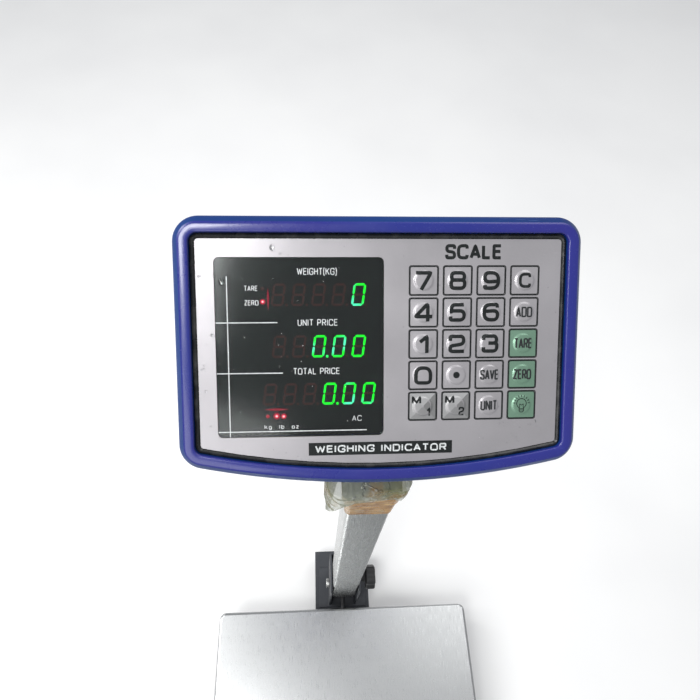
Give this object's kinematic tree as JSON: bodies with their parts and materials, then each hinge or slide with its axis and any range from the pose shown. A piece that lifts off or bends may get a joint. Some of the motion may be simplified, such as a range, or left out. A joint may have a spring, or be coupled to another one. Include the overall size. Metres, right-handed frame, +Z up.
{
  "type": "platform scale",
  "caption": "Portable platform scale: a tilting price-computing indicator with keypad and LED window on a folding steel column behind a lift-off deck.",
  "frame": {"origin": "middle of the whole object's footprint, on the floor plane under the levelling feet", "axes": "+X to the operator's right, +Y from the operator over the platform towards the column, +Z up"},
  "size_m": [0.4, 0.6728, 0.8373],
  "materials": {
    "blue_plastic": "moulded blue plastic with a light orange peel",
    "silver_panel": "satin silver printed film",
    "green_key": "satin pale green printed film",
    "smoked_window": "dark smoked acrylic, polished",
    "black_rubber": "matt moulded rubber",
    "black_plastic": "fine textured moulded plastic",
    "display_black": "cast module face with dark segments",
    "circuit_board": "green solder resist",
    "battery_grey": "plain moulded battery case",
    "stainless": "satin brushed stainless steel with fine scratches",
    "frame_paint": "dark grey powder coat",
    "zinc_steel": "zinc plated",
    "cell_aluminium": "milled aluminium, clear anodised",
    "packing_tape": "wrinkled brown packing tape, glossy",
    "clear_film": "crumpled clear packing film",
    "level_glass": "green spirit vial",
    "red_plastic": "glossy red rocker",
    "cable_sheath": "grey cable sheath"
  },
  "bodies": {
    "base": {"lower_frame": "frame_paint", "load_cell": "cell_aluminium", "upper_frame": "frame_paint", "deck_pad_front_left": "black_rubber", "deck_pad_front_right": "black_rubber", "deck_pad_rear_left": "black_rubber", "deck_pad_rear_right": "black_rubber", "column_bracket": "frame_paint", "fold_bolt": "zinc_steel", "level_housing": "black_plastic", "level_vial": "level_glass", "load_cell_cable": "cable_sheath"},
    "foot_front_left": {"foot_front_left": "black_rubber"},
    "foot_front_right": {"foot_front_right": "black_rubber"},
    "foot_rear_left": {"foot_rear_left": "black_rubber"},
    "foot_rear_right": {"foot_rear_right": "black_rubber"},
    "pan": {"deck_pan": "stainless"},
    "clamp": {"lock_knob": "black_plastic"},
    "column": {"column_tube": "stainless", "tilt_bracket": "zinc_steel", "tilt_bolt": "zinc_steel", "tape_band": "packing_tape", "film_wrap": "clear_film", "column_cable": "cable_sheath"},
    "head": {"neck_block": "blue_plastic", "front_bezel": "blue_plastic", "rear_housing": "blue_plastic", "panel_gasket": "black_rubber", "front_panel": "silver_panel", "display_window": "smoked_window", "weight_display": "display_black", "unit_price_display": "display_black", "total_price_display": "display_black", "main_board": "circuit_board", "keypad_board": "circuit_board", "battery": "battery_grey", "transformer": "zinc_steel", "power_inlet": "black_plastic"},
    "battery_door": {"battery_cover": "blue_plastic"},
    "rocker": {"power_switch": "red_plastic"},
    "key_7": {"key_7": "silver_panel"},
    "key_8": {"key_8": "silver_panel"},
    "key_9": {"key_9": "silver_panel"},
    "key_clear": {"key_clear": "silver_panel"},
    "key_4": {"key_4": "silver_panel"},
    "key_5": {"key_5": "silver_panel"},
    "key_6": {"key_6": "silver_panel"},
    "key_add": {"key_add": "silver_panel"},
    "key_1": {"key_1": "silver_panel"},
    "key_2": {"key_2": "silver_panel"},
    "key_3": {"key_3": "silver_panel"},
    "key_tare": {"key_tare": "green_key"},
    "key_0": {"key_0": "silver_panel"},
    "key_point": {"key_point": "silver_panel"},
    "key_save": {"key_save": "silver_panel"},
    "key_zero": {"key_zero": "green_key"},
    "key_memory_1": {"key_memory_1": "silver_panel"},
    "key_memory_2": {"key_memory_2": "silver_panel"},
    "key_unit": {"key_unit": "silver_panel"},
    "key_light": {"key_light": "green_key"}
  },
  "joints": [
    {"name": "pan_lift", "type": "slide", "parent": "base", "child": "pan", "axis": [0, 0, 1], "range_m": [0, 0.06]},
    {"name": "column_fold", "type": "hinge", "parent": "base", "child": "column", "pos_m": [0, 0.19862, 0.125], "axis": [-1, 0, 0], "range_deg": [-90, 0]},
    {"name": "head_tilt", "type": "hinge", "parent": "column", "child": "head", "pos_m": [0, 0.20562, 0.686], "axis": [1, 0, 0], "range_deg": [-20, 25]},
    {"name": "clamp_turn", "type": "hinge", "parent": "base", "child": "clamp", "pos_m": [0.03, 0.19862, 0.18], "axis": [1, 0, 0], "range_deg": [0, 360]},
    {"name": "battery_door_pull", "type": "slide", "parent": "head", "child": "battery_door", "axis": [0, 0.6018, -0.7986], "range_m": [0, 0.03]},
    {"name": "rocker_turn", "type": "hinge", "parent": "head", "child": "rocker", "pos_m": [0.048, 0.25337, 0.72322], "axis": [1, 0, 0], "range_deg": [-14, 0]},
    {"name": "foot_front_left_turn", "type": "hinge", "parent": "base", "child": "foot_front_left", "pos_m": [-0.16, -0.29638, 0], "axis": [0, 0, 1], "range_deg": [-360, 360]},
    {"name": "foot_front_right_turn", "type": "hinge", "parent": "base", "child": "foot_front_right", "pos_m": [0.16, -0.29638, 0], "axis": [0, 0, 1], "range_deg": [-360, 360]},
    {"name": "foot_rear_left_turn", "type": "hinge", "parent": "base", "child": "foot_rear_left", "pos_m": [-0.16, 0.12362, 0], "axis": [0, 0, 1], "range_deg": [-360, 360]},
    {"name": "foot_rear_right_turn", "type": "hinge", "parent": "base", "child": "foot_rear_right", "pos_m": [0.16, 0.12362, 0], "axis": [0, 0, 1], "range_deg": [-360, 360]},
    {"name": "key_7_press", "type": "slide", "parent": "head", "child": "key_7", "axis": [0, 0.6018, -0.7986], "range_m": [0, 0.0006], "stiffness_N_per_m": 5000},
    {"name": "key_8_press", "type": "slide", "parent": "head", "child": "key_8", "axis": [0, 0.6018, -0.7986], "range_m": [0, 0.0006], "stiffness_N_per_m": 5000},
    {"name": "key_9_press", "type": "slide", "parent": "head", "child": "key_9", "axis": [0, 0.6018, -0.7986], "range_m": [0, 0.0006], "stiffness_N_per_m": 5000},
    {"name": "key_clear_press", "type": "slide", "parent": "head", "child": "key_clear", "axis": [0, 0.6018, -0.7986], "range_m": [0, 0.0006], "stiffness_N_per_m": 5000},
    {"name": "key_4_press", "type": "slide", "parent": "head", "child": "key_4", "axis": [0, 0.6018, -0.7986], "range_m": [0, 0.0006], "stiffness_N_per_m": 5000},
    {"name": "key_5_press", "type": "slide", "parent": "head", "child": "key_5", "axis": [0, 0.6018, -0.7986], "range_m": [0, 0.0006], "stiffness_N_per_m": 5000},
    {"name": "key_6_press", "type": "slide", "parent": "head", "child": "key_6", "axis": [0, 0.6018, -0.7986], "range_m": [0, 0.0006], "stiffness_N_per_m": 5000},
    {"name": "key_add_press", "type": "slide", "parent": "head", "child": "key_add", "axis": [0, 0.6018, -0.7986], "range_m": [0, 0.0006], "stiffness_N_per_m": 5000},
    {"name": "key_1_press", "type": "slide", "parent": "head", "child": "key_1", "axis": [0, 0.6018, -0.7986], "range_m": [0, 0.0006], "stiffness_N_per_m": 5000},
    {"name": "key_2_press", "type": "slide", "parent": "head", "child": "key_2", "axis": [0, 0.6018, -0.7986], "range_m": [0, 0.0006], "stiffness_N_per_m": 5000},
    {"name": "key_3_press", "type": "slide", "parent": "head", "child": "key_3", "axis": [0, 0.6018, -0.7986], "range_m": [0, 0.0006], "stiffness_N_per_m": 5000},
    {"name": "key_tare_press", "type": "slide", "parent": "head", "child": "key_tare", "axis": [0, 0.6018, -0.7986], "range_m": [0, 0.0006], "stiffness_N_per_m": 5000},
    {"name": "key_0_press", "type": "slide", "parent": "head", "child": "key_0", "axis": [0, 0.6018, -0.7986], "range_m": [0, 0.0006], "stiffness_N_per_m": 5000},
    {"name": "key_point_press", "type": "slide", "parent": "head", "child": "key_point", "axis": [0, 0.6018, -0.7986], "range_m": [0, 0.0006], "stiffness_N_per_m": 5000},
    {"name": "key_save_press", "type": "slide", "parent": "head", "child": "key_save", "axis": [0, 0.6018, -0.7986], "range_m": [0, 0.0006], "stiffness_N_per_m": 5000},
    {"name": "key_zero_press", "type": "slide", "parent": "head", "child": "key_zero", "axis": [0, 0.6018, -0.7986], "range_m": [0, 0.0006], "stiffness_N_per_m": 5000},
    {"name": "key_memory_1_press", "type": "slide", "parent": "head", "child": "key_memory_1", "axis": [0, 0.6018, -0.7986], "range_m": [0, 0.0006], "stiffness_N_per_m": 5000},
    {"name": "key_memory_2_press", "type": "slide", "parent": "head", "child": "key_memory_2", "axis": [0, 0.6018, -0.7986], "range_m": [0, 0.0006], "stiffness_N_per_m": 5000},
    {"name": "key_unit_press", "type": "slide", "parent": "head", "child": "key_unit", "axis": [0, 0.6018, -0.7986], "range_m": [0, 0.0006], "stiffness_N_per_m": 5000},
    {"name": "key_light_press", "type": "slide", "parent": "head", "child": "key_light", "axis": [0, 0.6018, -0.7986], "range_m": [0, 0.0006], "stiffness_N_per_m": 5000}
  ]
}
